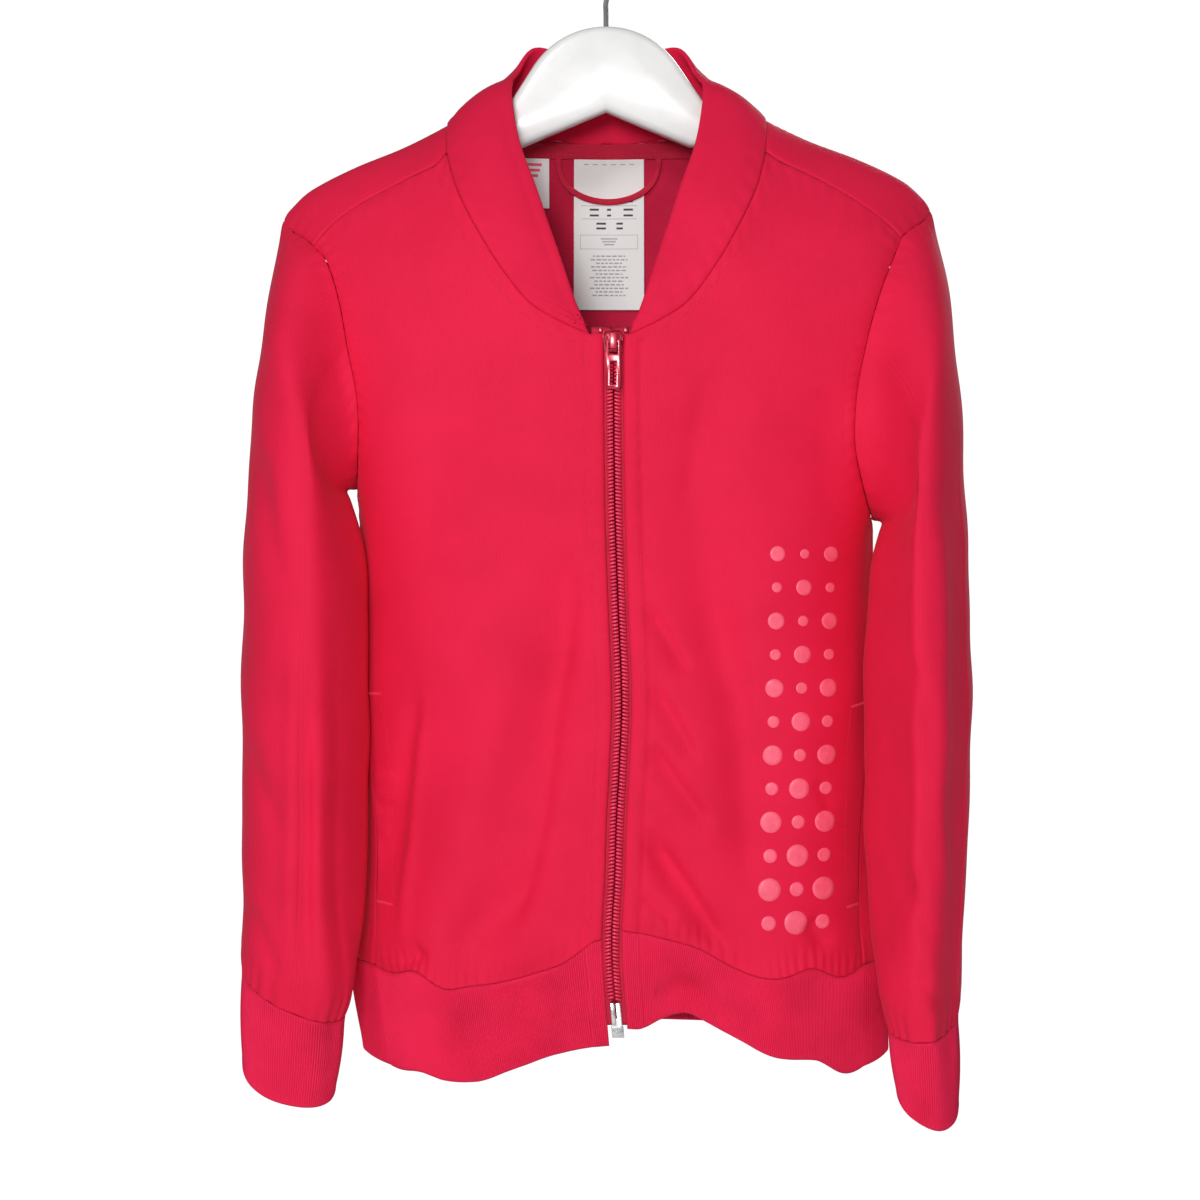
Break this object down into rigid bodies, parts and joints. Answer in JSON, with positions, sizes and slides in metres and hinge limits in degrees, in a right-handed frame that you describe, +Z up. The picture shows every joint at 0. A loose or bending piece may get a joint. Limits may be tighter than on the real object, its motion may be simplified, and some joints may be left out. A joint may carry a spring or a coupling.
{
  "type": "track jacket on hanger",
  "caption": "Zipped track jacket with a bomber collar, ribbed cuffs and hem and side pockets, hanging on a moulded hanger.",
  "frame": {"origin": "the highest point of the inner arch of the hanger's hook, where a rail carries it", "axes": "+Z up, -Y out of the front of the jacket, +X to the right as seen from the front"},
  "size_m": [0.4196, 0.1654, 0.6917],
  "materials": {
    "knit_cloth": "brushed warp knit, smooth outside",
    "rib_knit": "1 by 1 ribbed knit, folded double",
    "zip_cloth": "woven zip tape with a nylon coil",
    "tape_cloth": "woven tape",
    "label_cloth": "satin label",
    "zip_paint": "crimson lacquered zinc",
    "zip_steel": "bright nickel plate",
    "hanger_shell": "moulded white plastic",
    "hook_wire": "plated steel wire"
  },
  "bodies": {
    "jacket": {"front_left": "knit_cloth", "front_right": "knit_cloth", "back_panel": "knit_cloth", "sleeve_left": "knit_cloth", "sleeve_right": "knit_cloth", "pocket_left": "knit_cloth", "pocket_right": "knit_cloth", "collar": "rib_knit", "hem_band": "rib_knit", "cuff_left": "rib_knit", "cuff_right": "rib_knit", "zip_tape_left": "zip_cloth", "zip_tape_right": "zip_cloth", "zip_coil_left": "zip_cloth", "zip_coil_right": "zip_cloth", "neck_tape": "tape_cloth", "hang_loop": "tape_cloth", "main_label": "label_cloth", "size_label": "label_cloth", "zip_slider": "zip_paint", "zip_stop_left": "zip_paint", "zip_stop_right": "zip_paint", "zip_pin": "zip_steel", "zip_box": "zip_steel", "hanger": "hanger_shell", "hook": "hook_wire"},
    "pull": {"zip_pull": "zip_paint"}
  },
  "joints": [
    {"name": "pull_tab_swing", "type": "hinge", "parent": "jacket", "child": "pull", "pos_m": [0.00393, -0.06981, -0.24694], "axis": [-1, 0, 0], "range_deg": [0, 165]}
  ]
}
